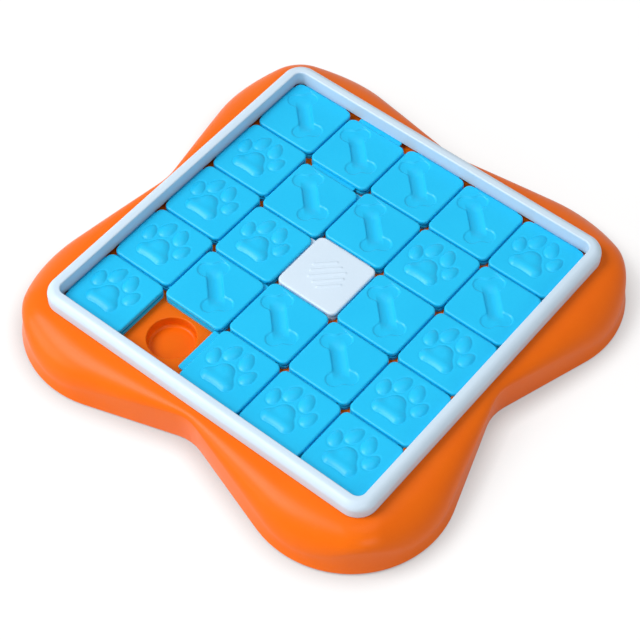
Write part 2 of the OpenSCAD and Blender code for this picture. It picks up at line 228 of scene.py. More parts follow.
def loft(rings, closed=False):
    """A skin through rings of points. The first ring is a circle primitive, and each next
    ring is extruded from the last one and laid on its own outline."""
    start()
    bpy.ops.mesh.primitive_circle_add(vertices=len(rings[0]), radius=1)
    bpy.ops.object.mode_set(mode="EDIT")
    skin = bpy.context.object.data
    net = bmesh.from_edit_mesh(skin)
    place = net.verts.layers.int.new("place")
    for number, vertex in enumerate(net.verts):
        vertex[place] = number
    for step, ring in enumerate(rings):
        if step:
            bpy.ops.mesh.extrude_edges_move()
        net = bmesh.from_edit_mesh(skin)
        place = net.verts.layers.int["place"]
        for vertex in net.verts:
            if vertex.select:
                vertex.co = ring[vertex[place]]
        bmesh.update_edit_mesh(skin)
    bpy.ops.mesh.select_all(action="SELECT")
    bpy.ops.mesh.region_to_loop()
    if closed:
        bpy.ops.mesh.bridge_edge_loops()
    else:
        bpy.ops.mesh.edge_face_add()
    outward()
    piece = done()
    piece.data.attributes.remove(piece.data.attributes["place"])
    return piece


# %% Helpers for rings and round bodies
CORNER_STEPS = 14


def rounded_ring(half, corner, height):
    """The points of a rounded square, counter-clockwise."""
    ring = []
    along = math.sqrt(2) * (half - corner)
    for quarter in range(4):
        middle = QUARTER * quarter + QUARTER / 2
        for step in range(CORNER_STEPS + 1):
            angle = QUARTER * (quarter + step / CORNER_STEPS)
            ring.append(Vector((along * math.cos(middle) + corner * math.cos(angle),
                                along * math.sin(middle) + corner * math.sin(angle), height)))
    return ring


def round_ring(radius, height, steps):
    """The points of a circle, counter-clockwise."""
    turns = [math.tau * k / steps for k in range(steps)]
    return [Vector((radius * math.cos(t), radius * math.sin(t), height)) for t in turns]


def arc(centre_out, centre_up, radius, first, last, steps):
    """Points [out, up] on an arc in a section, from one angle to another, in degrees."""
    turns = [math.radians(first + (last - first) * k / steps) for k in range(steps + 1)]
    return [(centre_out + radius * math.cos(t), centre_up + radius * math.sin(t)) for t in turns]


def lathe(section, steps=48):
    """A round body through the [radius, height] points of its section, capped at both ends."""
    return loft([round_ring(radius, height, steps) for radius, height in section])


def prism(half, corner, low, high):
    """A rounded square block."""
    return loft([rounded_ring(half, corner, low), rounded_ring(half, corner, high)])


# %% Helpers for placing and copying
def at(piece, x, y, z=0, turn=0):
    """Turns a piece about the vertical, moves it and bakes both into its mesh."""
    piece.data.transform(Matrix.Translation((x, y, z)) @ Matrix.Rotation(turn, 4, "Z"))
    return piece


def copy_of(piece, name):
    """A copy with its own mesh."""
    twin = piece.copy()
    twin.data = piece.data.copy()
    twin.name = name
    twin.data.name = name
    bpy.context.scene.collection.objects.link(twin)
    return twin


# %% [markdown]
# ## Shader maths as plain expressions
# A material here is a few patterns, added and scaled. Written node by node that is hard to
# read, so a small class wraps a socket and overloads the operators: `1 - mask * 0.3` then
# adds its own Math nodes. Every other node comes from one method, Finish.add.

# %% Sockets as values
class Wire:
    """An output socket that can be used in an expression."""

    def __init__(self, finish, node, socket):
        self.finish, self.node, self.socket = finish, node, socket

    def __getitem__(self, name):
        return Wire(self.finish, self.node, self.node.outputs[name])

    def maths(self, operation, *values):
        return self.finish.add("ShaderNodeMath", {"operation": operation}, dict(enumerate(values)))

    def __add__(self, other):
        return self.maths("ADD", self, other)

    def __sub__(self, other):
        return self.maths("SUBTRACT", self, other)

    def __mul__(self, other):
        return self.maths("MULTIPLY", self, other)

    def __rsub__(self, other):
        return self.maths("SUBTRACT", other, self)

    __radd__, __rmul__ = __add__, __mul__

    def between(self, low, high):
        """0 below low, 1 above high and smooth in between."""
        return self.finish.add("ShaderNodeMapRange", {"interpolation_type": "SMOOTHSTEP"},
                               {"Value": self, "From Min": low, "From Max": high})


class Finish:
    """The nodes of a material, or of the world, under construction."""

    def __init__(self, owner):
        owner.use_nodes = True
        self.owner, self.tree = owner, owner.node_tree
        self.tree.nodes.clear()

    def add(self, kind, settings=None, values=None):
        """Adds a node, sets it, plugs its sockets and returns its first output."""
        node = self.tree.nodes.new(kind)
        for name, value in (settings or {}).items():
            setattr(node, name, value)
        for name, value in (values or {}).items():
            self.plug(node, name, value)
        shown = [socket for socket in node.outputs if socket.enabled]
        return Wire(self, node, shown[0] if shown else None)

    def plug(self, node, name, value):
        """Links a wire to a socket, or writes a value on it."""
        found = [s for s in node.inputs if s.enabled and s.name == name]
        socket = node.inputs[name] if isinstance(name, int) else found[0]
        if isinstance(value, Wire):
            self.tree.links.new(value.socket, socket)
        else:
            socket.default_value = value

    def noise(self, size, detail=2.0, stretch=None):
        """Noise whose features are about size metres wide, from 0 to 1."""
        where = self.add("ShaderNodeTexCoord")["Object"]
        if stretch:
            where = self.add("ShaderNodeMapping", None, {"Vector": where, "Scale": stretch})
        return self.add("ShaderNodeTexNoise", None,
                        {"Vector": where, "Scale": 1 / size, "Detail": detail})

    def mix(self, share, first, second):
        """The first colour where the share is 0, the second where it is 1."""
        return self.add("ShaderNodeMix", {"data_type": "RGBA"},
                        {"Factor": share, "A": first, "B": second})

    def bumps(self, *layers):
        """Bump nodes in a row, for layers of (height wire, distance in metres, strength)."""
        normal = None
        for height, distance, strength in layers:
            values = {"Height": height, "Distance": distance, "Strength": strength}
            if normal:
                values["Normal"] = normal
            normal = self.add("ShaderNodeBump", None, values)
        return normal

    def finish(self, **values):
        """The shader itself. Underscores in the names stand for spaces."""
        named = {name.replace("_", " "): value for name, value in values.items()}
        shader = self.add("ShaderNodeBsdfPrincipled", None, named)
        self.add("ShaderNodeOutputMaterial", None, {"Surface": shader})
        print("material", self.owner.name)
        return self.owner


# %% [markdown]
# ## Moulded plastic
# All the shells are the same kind of plastic: injection moulded, with a fine spark-eroded
# grain that breaks up the highlight, a faint cloudiness in the colour where the melt flowed,
# and hair scratches from paws and crates. The grain is a bump of a few hundredths of a
# millimetre. Colour, cloudiness, gloss and grain differ from part to part, so the recipe is
# one function and each part calls it with its own values.

# %% Moulded plastic
FLOW_SIZE, SPECKLE_SIZE, PATCH_SIZE = 34 * MM, 1.1 * MM, 21 * MM
FLOW_SHARE, SPECKLE_SHARE = 0.7, 0.3
FLOW_DEPTH = 0.05 * MM
COARSE_SIZE, COARSE_DEPTH = 3.1, 1.6
SCRATCH_STRENGTH, SCRATCH_COVER = 0.5, 0.35
SCRATCH_GAIN, SCRATCH_LIFT = 1.25, 0.04
SPECKLE_DULLS, SCRATCH_DULLS = 0.10, 0.16


def moulded(name, colour, cloudy, gloss, shine, grain, depth):
    """Plastic whose colour drifts to cloudy, with gloss as its middle roughness."""
    paint = Finish(bpy.data.materials.new(name))
    flow = paint.noise(FLOW_SIZE, detail=3.0)
    speckle = paint.noise(SPECKLE_SIZE)
    drift = flow.between(0.3, 0.7) * FLOW_SHARE + speckle.between(0.35, 0.75) * SPECKLE_SHARE
    along = paint.noise(9 * MM, stretch=(1.0, 34.0, 4.0)).between(0.66, 0.72)
    across = paint.noise(11 * MM, stretch=(27.0, 1.0, 4.0)).between(0.67, 0.73)
    patches = paint.noise(PATCH_SIZE, detail=1.0).between(0.45, 0.7)
    scuffs = (along + across) * patches * SCRATCH_STRENGTH
    fine = paint.noise(grain, detail=3.0)
    coarse = paint.noise(grain * COARSE_SIZE)
    normal = paint.bumps((fine, depth, 0.55), (coarse, depth * COARSE_DEPTH, 0.4),
                         (flow, FLOW_DEPTH, 0.25))
    clean = paint.mix(drift, (*colour, 1), (*cloudy, 1))
    scratched = [min(1.0, part * SCRATCH_GAIN + SCRATCH_LIFT) for part in colour]
    return paint.finish(Base_Color=paint.mix(scuffs * SCRATCH_COVER, clean, (*scratched, 1)),
                        Roughness=gloss + (speckle - 0.5) * SPECKLE_DULLS + scuffs * SCRATCH_DULLS,
                        Specular_IOR_Level=shine, Normal=normal)


# %% The four plastics
ORANGE = moulded("orange_plastic", colour=(0.820, 0.142, 0.002), cloudy=(0.800, 0.130, 0.002),
                 gloss=0.32, shine=0.15, grain=0.6 * MM, depth=0.02 * MM)
PALE = moulded("pale_rim_plastic", colour=(0.588, 0.712, 0.822), cloudy=(0.563, 0.692, 0.812),
               gloss=0.36, shine=0.36, grain=0.7 * MM, depth=0.03 * MM)
BLUE = moulded("blue_plastic", colour=(0.008, 0.500, 0.835), cloudy=(0.005, 0.475, 0.815),
               gloss=0.40, shine=0.32, grain=0.8 * MM, depth=0.03 * MM)
WHITE = moulded("white_plastic", colour=(0.625, 0.740, 0.850), cloudy=(0.595, 0.715, 0.830),
                gloss=0.42, shine=0.40, grain=0.8 * MM, depth=0.03 * MM)

# %% [markdown]
# The feet are soft rubber: nearly black, dull, with dust in the pores where they meet the
# floor. The screws are zinc plated steel, a little cloudy, with the fine rings of a lathe.
# Each finished piece is then dressed in one call, which also puts it on its body and hides its CAD
# node.

# %% Rubber and zinc
BLACK_RUBBER, PALE_DUST = (0.022, 0.022, 0.024, 1), (0.11, 0.105, 0.10, 1)
BRIGHT_ZINC, DARK_ZINC = (0.60, 0.60, 0.61, 1), (0.46, 0.47, 0.50, 1)


def foot_rubber():
    paint = Finish(bpy.data.materials.new("foot_rubber"))
    dust = paint.noise(2.5 * MM, detail=4.0).between(0.5, 0.75)
    pores = paint.noise(0.35 * MM, detail=3.0)
    return paint.finish(Base_Color=paint.mix(dust * 0.5, BLACK_RUBBER, PALE_DUST),
                        Roughness=0.72 + dust * 0.18,
                        Normal=paint.bumps((pores, 0.04 * MM, 0.6)))


def zinc():
    paint = Finish(bpy.data.materials.new("zinc_plate"))
    cloud = paint.noise(1.4 * MM, detail=3.0).between(0.3, 0.7)
    rings = paint.noise(0.5 * MM, stretch=(1.0, 1.0, 9.0))
    return paint.finish(Base_Color=paint.mix(cloud, BRIGHT_ZINC, DARK_ZINC),
                        Metallic=1.0, Roughness=0.26 + cloud * 0.12,
                        Normal=paint.bumps((rings, 0.01 * MM, 0.4)))


RUBBER, ZINC = foot_rubber(), zinc()


# %% Dress a piece
def dress(piece, material, body, node):
    """Gives a piece its material and its body, and hides the CAD node that it stands for."""
    piece.data.materials.clear()
    piece.data.materials.append(material)
    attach(piece, body)
    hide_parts(node)


# %% [markdown]
# ## The lobed shell
# Four round lobes are joined by hollow waists. Seen from above, the outline is made of arcs
# and straight flanks that touch without a corner, so a formula gives its distance from the
# middle in any direction. The skin could be carved from a block, but a shell is easier to keep
# even: its section is drawn once for each direction and the rings are extruded one from
# another, over the ledge, down the rolled shoulder, round the foot and up again inside.

# %% Outlines of the shell
LOBE_CENTRE = 88 * MM
LOBE_RADIUS = base_high.x - LOBE_CENTRE
LOBE_DRAFT = 2 * MM
HOLLOW_RADIUS = 28 * MM
WAIST_LOW = 129 * MM
WAIST_HIGH = 131 * MM
ANGLE_STEPS = 40
ANGLE_CROWDING = 1.7
print("lobe radius", LOBE_RADIUS)


def folded(angle):
    """The angle to the nearest of the four main directions, from 0 to 45 degrees."""
    return abs((angle + QUARTER / 2) % QUARTER - QUARTER / 2)


def square_reach(angle, half, corner):
    """Distance from the middle to a rounded square."""
    t, k = folded(angle), half - corner
    flat = half / math.cos(t)
    if flat * math.sin(t) <= k:
        return flat
    off = QUARTER / 2 - t
    along = k * math.sqrt(2) * math.cos(off)
    return along + math.sqrt(corner ** 2 - 2 * (k * math.sin(off)) ** 2)


def lobed_reach(angle, inset, waist):
    """Distance from the middle to the lobed outline: hollow, straight flank, round lobe."""
    t, radius, hollow = folded(angle), LOBE_RADIUS - inset, HOLLOW_RADIUS + inset
    far = waist + hollow
    between = math.hypot(far - LOBE_CENTRE, LOBE_CENTRE)
    slant = math.atan2(LOBE_CENTRE, far - LOBE_CENTRE) - math.acos((radius + hollow) / between)
    sine, cosine = math.sin(slant), math.cos(slant)
    if t < math.atan2(hollow * sine, far - hollow * cosine):
        return far * math.cos(t) - math.sqrt(hollow ** 2 - (far * math.sin(t)) ** 2)
    if t < math.atan2(LOBE_CENTRE - radius * sine, LOBE_CENTRE + radius * cosine):
        return (LOBE_CENTRE * (cosine - sine) + radius) / math.cos(t + slant)
    away, off = LOBE_CENTRE * math.sqrt(2), QUARTER / 2 - t
    return away * math.cos(off) + math.sqrt(radius ** 2 - (away * math.sin(off)) ** 2)


def shell_angles():
    """Directions round the board, closer together at the corners of the rim."""
    shares = [k / ANGLE_STEPS for k in range(ANGLE_STEPS)]
    half = [QUARTER / 2 * (1 - (1 - share) ** ANGLE_CROWDING) for share in shares]
    quarter = half + [QUARTER - t for t in [QUARTER / 2] + half[:0:-1]]
    return [t + turn * QUARTER for turn in range(4) for t in quarter]


# %% Section of the shell
SHELL_ROOT = 1 * MM
SHELL_WALL = 2.4 * MM
SHOULDER_SLOPE = 0.75
SHOULDER_STEPS = 22
WALL_SWEEP = 1.6
WALL_STEPS = 8
GROUND_GAP = 1 * MM
FOOT_ROUND = 1.1 * MM
FOOT_STEPS = 4


def shell_section(angle):
    """Points [distance, height] over the shell and back inside it, in one direction."""
    ledge = square_reach(angle, CORE_HALF, CORE_CORNER)
    root = square_reach(angle, CORE_HALF - SHELL_ROOT, CORE_CORNER - SHELL_ROOT)
    high = lobed_reach(angle, LOBE_DRAFT, WAIST_HIGH)
    low = lobed_reach(angle, 0, WAIST_LOW)
    out, top = high - ledge, SEAT - HAIR
    drop = SHOULDER_SLOPE * out
    turns = [QUARTER * k / SHOULDER_STEPS for k in range(SHOULDER_STEPS + 1)]
    shoulder = [(ledge + out * math.sin(t), top - drop * (1 - math.cos(t))) for t in turns]
    fall = top - drop - GROUND_GAP - FOOT_ROUND
    shares = [(k + 1) / WALL_STEPS for k in range(WALL_STEPS)]
    wall = [(high + (low - high) * s ** WALL_SWEEP, top - drop - fall * s) for s in shares]
    foot = GROUND_GAP + FOOT_ROUND
    outer_foot = arc(low - FOOT_ROUND, foot, FOOT_ROUND, 0, -90, FOOT_STEPS)[1:]
    inner_foot = arc(low - SHELL_WALL + FOOT_ROUND, foot, FOOT_ROUND, -90, -180, FOOT_STEPS)
    inside = [(r - SHELL_WALL, z) for r, z in reversed(wall[:-1])]
    reach = high - SHELL_WALL - root
    roof = [(root + reach * math.sin(t), ROOF - drop * (1 - math.cos(t)))
            for t in reversed(turns[::2])]
    return [(root, top)] + shoulder + wall + outer_foot + inner_foot + inside + roof


# %% The shell
def lobed_shell():
    angles = shell_angles()
    sections = [shell_section(angle) for angle in angles]
    rings = [[Vector((out * math.cos(angle), out * math.sin(angle), up))
              for angle, (out, up) in zip(angles, points)] for points in zip(*sections)]
    print("shell", len(rings), "rings of", len(angles))
    return loft(rings, closed=True)


# %% [markdown]
# ## Deck and wells
# The deck inside the shell is a rounded square block, with cups, ribs and posts welded under
# it. The tiles' pocket is cut into it, with the rails left standing on the front and right
# sides and room under the rim on the other two. Each well is a lathed body with a round bottom
# edge and a flared mouth: cutting it away leaves the soft edges of a moulded cup. One cup and
# one cutter are made, and arrays repeat them.

# %% Sizes under the deck
ROWS = 5
PITCH = 46 * MM
WELL_RADIUS = 15.2 * MM
WELL_FLOOR = FLOOR - 8 * MM
CUP_WALL = 2.2 * MM
CUP_BOTTOM = WELL_FLOOR - CUP_WALL
CUP_EDGE = 1.5 * MM
RIB_COUNT = ROWS - 1
RIB_WIDTH = 1.8 * MM
RIB_LOW = DECK_BOTTOM - 6 * MM
POST_RADIUS = 8.5 * MM
POST_LOW = 1.5 * MM
POST_EDGE = 0.8 * MM
POST_SINK = 0.1 * MM
FOOT_OUT = 131 * MM
FOOT_SIDE = 92 * MM
FEET = [(turn * QUARTER, side) for turn in range(4) for side in (-1, 1)]
print("wells", ROWS ** 2, "ribs", 2 * RIB_COUNT, "posts", len(FEET))


# %% Cups, ribs and posts
def repeated(piece, step, count):
    """An array of pieces in x and y about the middle, as one mesh."""
    for axis in range(2):
        offset = [0.0, 0.0, 0.0]
        offset[axis] = step
        apply_modifier(piece, "ARRAY", count=count, use_relative_offset=False,
                       use_constant_offset=True, constant_offset_displace=offset)
    return at(piece, -(count - 1) / 2 * step, -(count - 1) / 2 * step)


def cup_bodies():
    out = WELL_RADIUS + CUP_WALL
    edge = arc(out - CUP_EDGE, CUP_BOTTOM + CUP_EDGE, CUP_EDGE, -90, 0, steps=4)
    return repeated(lathe(edge + [(out, DECK_BOTTOM + BEYOND)]), PITCH, ROWS)


def rib(index, turn):
    where = (index - (RIB_COUNT - 1) / 2) * PITCH
    half = CORE_HALF - CORE_CORNER
    low = (-RIB_WIDTH / 2 + where, -half, RIB_LOW)
    high = (RIB_WIDTH / 2 + where, half, DECK_BOTTOM + BEYOND)
    return at(block(low, high), 0, 0, turn=turn)


def at_foot(piece, foot):
    """Moves a piece from the middle to a foot's place under a lobe."""
    turn, side = foot
    place = Matrix.Rotation(turn, 4, "Z") @ Vector((FOOT_OUT, side * FOOT_SIDE, 0))
    return at(piece, place.x, place.y)


def post():
    edge = arc(POST_RADIUS - POST_EDGE, POST_LOW + POST_EDGE, POST_EDGE, -90, 0, steps=3)
    return lathe(edge + [(POST_RADIUS, ROOF + POST_SINK)])


# %% The deck
def deck():
    piece = prism(CORE_HALF, CORE_CORNER, DECK_BOTTOM, SEAT)
    weld(piece, cup_bodies())
    for index in range(RIB_COUNT):
        for turn in (0, QUARTER):
            weld(piece, rib(index, turn))
    for foot in FEET:
        weld(piece, at_foot(post(), foot))
    print("deck", len(piece.data.polygons), "faces")
    return piece


# %% Wells
WELL_FILLET = 2.2 * MM
WELL_FLARE = 0.9 * MM
WELL_STEPS = 72


def well_cutter():
    low, out = WELL_FLOOR + WELL_FILLET, WELL_RADIUS + WELL_FLARE
    bottom = arc(WELL_RADIUS - WELL_FILLET, low, WELL_FILLET, -90, 0, steps=8)
    mouth = arc(out, FLOOR - WELL_FLARE, WELL_FLARE, 180, 90, steps=6)
    top = [(out, FLOOR + BEYOND)]
    return repeated(lathe(bottom + mouth + top, WELL_STEPS), PITCH, ROWS)


# %% The pocket
TONGUE_TOP = TILE_TOP - 2.8 * MM
TONGUE_THICK = 1.6 * MM
RAIL_REACH = 4.8 * MM
RAIL_LOW = TONGUE_TOP - TONGUE_THICK
POCKET_REACH = 3.75 * MM
POCKET_END = INNER_HALF - 2.1 * MM


def carve_tongue_room(piece, low, high):
    """Cuts room for the tongues under the rim, on the left and the back."""
    reach = INNER_HALF + POCKET_REACH
    carve(piece, block((-reach, -POCKET_END, low), (-TILE_HALF, POCKET_END, high)))
    carve(piece, block((-POCKET_END, TILE_HALF, low), (POCKET_END, reach, high)))


def carve_pocket(piece):
    top = SEAT + BEYOND
    carve(piece, prism(INNER_HALF, RIM_CORNER - RIM_WIDTH, FLOOR, RAIL_LOW))
    inner = INNER_HALF - RAIL_REACH
    carve(piece, block((-INNER_HALF, -inner, RAIL_LOW - HAIR), (inner, INNER_HALF, top)))
    carve_tongue_room(piece, FLOOR, top)


# %% The groove for the rim's lip
LIP_WIDTH = 1.6 * MM
LIP_HEIGHT = 2.4 * MM
LIP_INSET = 0.4 * MM
LIP_PLAY = 0.2 * MM


def carve_lip_groove(piece):
    outer, corner = RIM_HALF - LIP_INSET + LIP_PLAY, RIM_CORNER - LIP_INSET + LIP_PLAY
    inset = LIP_WIDTH + 2 * LIP_PLAY
    low, top = SEAT - LIP_HEIGHT - LIP_PLAY, SEAT + BEYOND
    carve(piece, loft([rounded_ring(outer - inset, corner - inset, top),
                       rounded_ring(outer, corner, top), rounded_ring(outer, corner, low),
                       rounded_ring(outer - inset, corner - inset, low)], closed=True))


# %% Holes for the screws and the feet
SCREW_PLACE = 116.5 * MM
SCREW_RADIUS = 1.45 * MM
SCREW_PLAY = 0.2 * MM
SCREW_STEPS = 32
FOOT_RADIUS = 6.5 * MM
FOOT_HEIGHT = 3.6 * MM
STEM_RADIUS = 2.5 * MM
STEM_LENGTH = 6 * MM
FOOT_PLAY = 0.15 * MM


def carve_screw_holes(piece, radius, low, high):
    """Bores the four screw holes, from one height to another."""
    for x in (-SCREW_PLACE, SCREW_PLACE):
        for y in (-SCREW_PLACE, SCREW_PLACE):
            carve(piece, at(lathe([(radius, low), (radius, high)], SCREW_STEPS), x, y))


def carve_foot_sockets(piece):
    pad, stem = FOOT_RADIUS + FOOT_PLAY, STEM_RADIUS + FOOT_PLAY
    socket = [(pad, POST_LOW - BEYOND), (pad, FOOT_HEIGHT), (stem, FOOT_HEIGHT),
              (stem, FOOT_HEIGHT + STEM_LENGTH + FOOT_PLAY)]
    for foot in FEET:
        carve(piece, at_foot(lathe(socket), foot))


# %% The base
base = deck()
carve_pocket(base)
carve(base, well_cutter())
carve_lip_groove(base)
carve_screw_holes(base, SCREW_RADIUS + SCREW_PLAY, DECK_BOTTOM - BEYOND, SEAT + BEYOND)
carve_foot_sockets(base)
weld(base, lobed_shell())
base = close_up(base, "board_base")
dress(base, ORANGE, "root", "base")

# %% [markdown]
# ## The rim
# The rim is a frame with one section all the way round: a broad rolled outer edge that
# catches the light, a flat top, a small inner edge and a lip that drops into the base. The
# section is lofted round the rounded square. Room for the tongues and the four screw holes
# are cut afterwards.

# %% Section of the rim
RIM_ROLL = 5.4 * MM
RIM_EDGE = 1 * MM
SEAT_EDGE = 0.5 * MM


def rim_section():
    """Points [inset from the outer face, height], up the outside and down the inside."""
    edge_in, lip_in, lip_low = RIM_WIDTH - RIM_EDGE, LIP_INSET + LIP_WIDTH, SEAT - LIP_HEIGHT
    outer = [(SEAT_EDGE - p, h) for p, h in arc(0, SEAT + SEAT_EDGE, SEAT_EDGE, -90, 0, steps=3)]
    roll = [(RIM_ROLL - p, h) for p, h in arc(0, RIM_TOP - RIM_ROLL, RIM_ROLL, 0, 90, steps=16)]
    inner = [(edge_in - p, h) for p, h in arc(0, RIM_TOP - RIM_EDGE, RIM_EDGE, 90, 180, steps=6)]
    lip = [(RIM_WIDTH, SEAT), (lip_in, SEAT), (lip_in, lip_low), (LIP_INSET, lip_low)]
    return [(LIP_INSET, SEAT)] + outer[1:] + roll + inner + lip


# %% The rim
SLIDE_ROOM = 0.3 * MM
SCREW_FIT = 0.05 * MM
SCREW_TIP = DECK_BOTTOM + 13 * MM
TIP_ROOM = 0.4 * MM

rim = loft([rounded_ring(RIM_HALF - inset, RIM_CORNER - inset, height)
            for inset, height in rim_section()], closed=True)
carve_tongue_room(rim, SEAT - BEYOND, TONGUE_TOP + SLIDE_ROOM)
carve_screw_holes(rim, SCREW_RADIUS + SCREW_FIT, SEAT - BEYOND, SCREW_TIP + TIP_ROOM)
rim = close_up(rim, "board_rim")
dress(rim, PALE, "root", "rim")

# %% [markdown]
# ## A tile without its relief
# A tile starts as a box. Its upright edges, its top edge and its bottom edge are bevelled in
# turn, because each has its own radius. A groove is cut into two sides and a tongue stands
# out of the other two: each tile runs on its neighbours' tongues. The top face is then
# swapped for a fine grid, which a relief needs; the flat ring between them is bridged.

# %% The blank tile
TILE_CORNER = 4.5 * MM
TILE_EDGE = 1.3 * MM
TILE_FOOT = 0.35 * MM
GROOVE_DEPTH = 5.4 * MM
TONGUE_START = 4.2 * MM
TONGUE_END = 7 * MM
TONGUE_ROUND = 0.9 * MM
TONGUE_EDGE = 0.25 * MM


def on_level(height):
    """A test for edges that lie at one height."""
    return lambda edge: all(abs(v.co.z - height) < HAIR for v in edge.verts)


def upright(edge):
    return abs(edge.verts[0].co.z - edge.verts[1].co.z) > MM


def slab():
    piece = block((-TILE_HALF, -TILE_HALF, 0), (TILE_HALF, TILE_HALF, TILE_HEIGHT))
    edit(piece)
    choose("EDGE", upright)
    bpy.ops.mesh.bevel(offset=TILE_CORNER, segments=10, affect="EDGES")
    choose("EDGE", on_level(TILE_HEIGHT))
    bpy.ops.mesh.bevel(offset=TILE_EDGE, segments=7, affect="EDGES")
    choose("EDGE", on_level(0))
    bpy.ops.mesh.bevel(offset=TILE_FOOT, segments=2, affect="EDGES")
    return done()


def tongue(low, high):
    """A tongue with softened edges and rounded ends."""
    piece = block(low, high)
    edit(piece)
    choose("EDGE", upright)
    bpy.ops.mesh.bevel(offset=TONGUE_ROUND, segments=4, affect="EDGES")
    choose("EDGE", lambda edge: not upright(edge))
    bpy.ops.mesh.bevel(offset=TONGUE_EDGE, segments=2, affect="EDGES")
    return done()


def blank_tile():
    piece = slab()
    low = TONGUE_TOP - TONGUE_THICK - SLIDE_ROOM - FLOOR
    high = TONGUE_TOP + SLIDE_ROOM - FLOOR
    out, inner = TILE_HALF + BEYOND, TILE_HALF - GROOVE_DEPTH
    carve(piece, block((inner, -out, low), (out, out, high)))
    carve(piece, block((-out, -out, low), (out, -inner, high)))
    low, high = TONGUE_TOP - TONGUE_THICK - FLOOR, TONGUE_TOP - FLOOR
    first, last = TONGUE_START - TILE_HALF, TILE_HALF - TONGUE_END
    root, tip = TILE_HALF - TILE_CORNER, TILE_HALF + TONGUE_REACH
    weld(piece, tongue((-tip, -last, low), (-root, -first, high)))
    weld(piece, tongue((first, root, low), (last, tip, high)))
    return piece


# %% A tile with a relief
PATCH_HALF = 19.5 * MM
PATCH_STEPS = 104
FACING_UP = 0.99
RELIEF_ANGLE = 40


def with_relief(name, height):
    """A blank tile whose top rises and falls by height(x, y), all in millimetres."""
    piece = blank_tile()
    start()
    bpy.ops.mesh.primitive_grid_add(x_subdivisions=PATCH_STEPS, y_subdivisions=PATCH_STEPS,
                                    size=2 * PATCH_HALF, location=(0, 0, TILE_HEIGHT))
    bpy.ops.object.transform_apply(location=True)
    patch = bpy.context.object
    for vertex in patch.data.vertices:
        vertex.co.z += height(vertex.co.x / MM, vertex.co.y / MM) * MM
    edit(piece)
    choose("FACE", lambda f: f.normal.z > FACING_UP and f.calc_area() > PATCH_HALF ** 2)
    bpy.ops.mesh.delete(type="ONLY_FACE")
    done()
    take(piece)
    patch.select_set(True)
    bpy.ops.object.join()
    edit(piece)
    choose("EDGE", lambda edge: edge.is_boundary)
    bpy.ops.mesh.bridge_edge_loops()
    outward()
    piece = done(name)
    smooth(piece, RELIEF_ANGLE)
    return piece


# %% [markdown]
# ## Reliefs
# A relief is a height over the tile's top. Each outline is a signed distance: negative
# inside, zero on the edge. Two outlines are blended with a soft minimum, so the palm's heel
# and crown melt together without a crease. Walking inwards from the edge, the paw rises like a
# cushion and the bone sinks like a trough. Reliefs are worked out in millimetres.

# %% Distances and profiles
LINE_DEPTH, LINE_WIDTH = 0.20, 0.5


def disc(x, y, cx, cy, radius):
    """Distance to a circle."""
    return math.hypot(x - cx, y - cy) - radius


def blend(first, second, width):
    """The smaller of two distances, with the crease filled over a width."""
    share = max(width - abs(first - second), 0) / width
    return min(first, second) - share * share * width / 4


def inwards(distance, softness):
    """How far a point lies inside its outline, easing in over the softness."""
    return (math.hypot(distance, softness) - distance) / 2


def cushion(distance, width, rise, softness=0.22, fullness=0.95):
    """A crown that has risen in full at a width inside its outline."""
    share = min(inwards(distance, softness) / width, 1)
    return rise * (1 - (1 - share) ** 2) ** fullness


def ring_line(distance):
    """A hair groove that rings an outline."""
    return -LINE_DEPTH * math.exp(-((distance - LINE_WIDTH / 2) / LINE_WIDTH) ** 2)


def eased(share):
    """From 0 to 1, starting and ending gently."""
    share = min(max(share, 0), 1)
    return share * share * (3 - 2 * share)


# %% The paw
PAW_ASIDE = 1.2
OUTER_TOE = {"cx": 13.1, "cy": 2.8, "width": 8.0, "length": 11.7, "lean": 14}
INNER_TOE = {"cx": 5.4, "cy": 11.0, "width": 8.7, "length": 13.1, "lean": -14}
TOE_TAPER = 0.15
HEEL_OUT, HEEL_BACK, HEEL_RADIUS, HEEL_ARCH = 6.6, 8.9, 4.6, 0.7
CROWN_BACK, CROWN_RADIUS, CROWN_MELT = 1.9, 6.0, 6
PALM_ASIDE, PALM_BACK = 0.6, 0.4
OUTER_SLOPE, INNER_SLOPE, PALM_SLOPE = 4.0, 4.3, 4.7
OUTER_RISE, INNER_RISE, PALM_RISE = 1.3, 1.35, 1.6


def toe_distance(x, y, cx, cy, width, length, lean):
    """Distance to an egg that leans from straight ahead, its narrow end away from the palm."""
    turn = math.radians(lean)
    u = (x - cx) * math.cos(turn) - (y - cy) * math.sin(turn)
    v = (x - cx) * math.sin(turn) + (y - cy) * math.cos(turn)
    half = width / 2 * (1 - TOE_TAPER * v / (length / 2))
    return (math.hypot(u / half, v / (length / 2)) - 1) * width / 2


def palm_distance(x, y):
    """Distance to the palm: a heel bar with round ends, melted into a round crown."""
    side = abs(x)
    arch = HEEL_ARCH * max(1 - (side / HEEL_OUT) ** 2, 0)
    heel = math.hypot(max(side - HEEL_OUT, 0), y + HEEL_BACK - arch) - HEEL_RADIUS
    return blend(heel, disc(x, y, 0, -CROWN_BACK, CROWN_RADIUS), CROWN_MELT)


def paw_height(x, y):
    """Four toes and a palm, each with a hair groove round it. The toes mirror in x."""
    x += PAW_ASIDE
    outer = toe_distance(abs(x), y, **OUTER_TOE)
    inner = toe_distance(abs(x), y, **INNER_TOE)
    palm = palm_distance(x + PALM_ASIDE, y + PALM_BACK)
    lines = sum(ring_line(d) for d in (outer, inner, palm))
    return (cushion(outer, OUTER_SLOPE, OUTER_RISE) + cushion(inner, INNER_SLOPE, INNER_RISE)
            + cushion(palm, PALM_SLOPE, PALM_RISE) + lines)


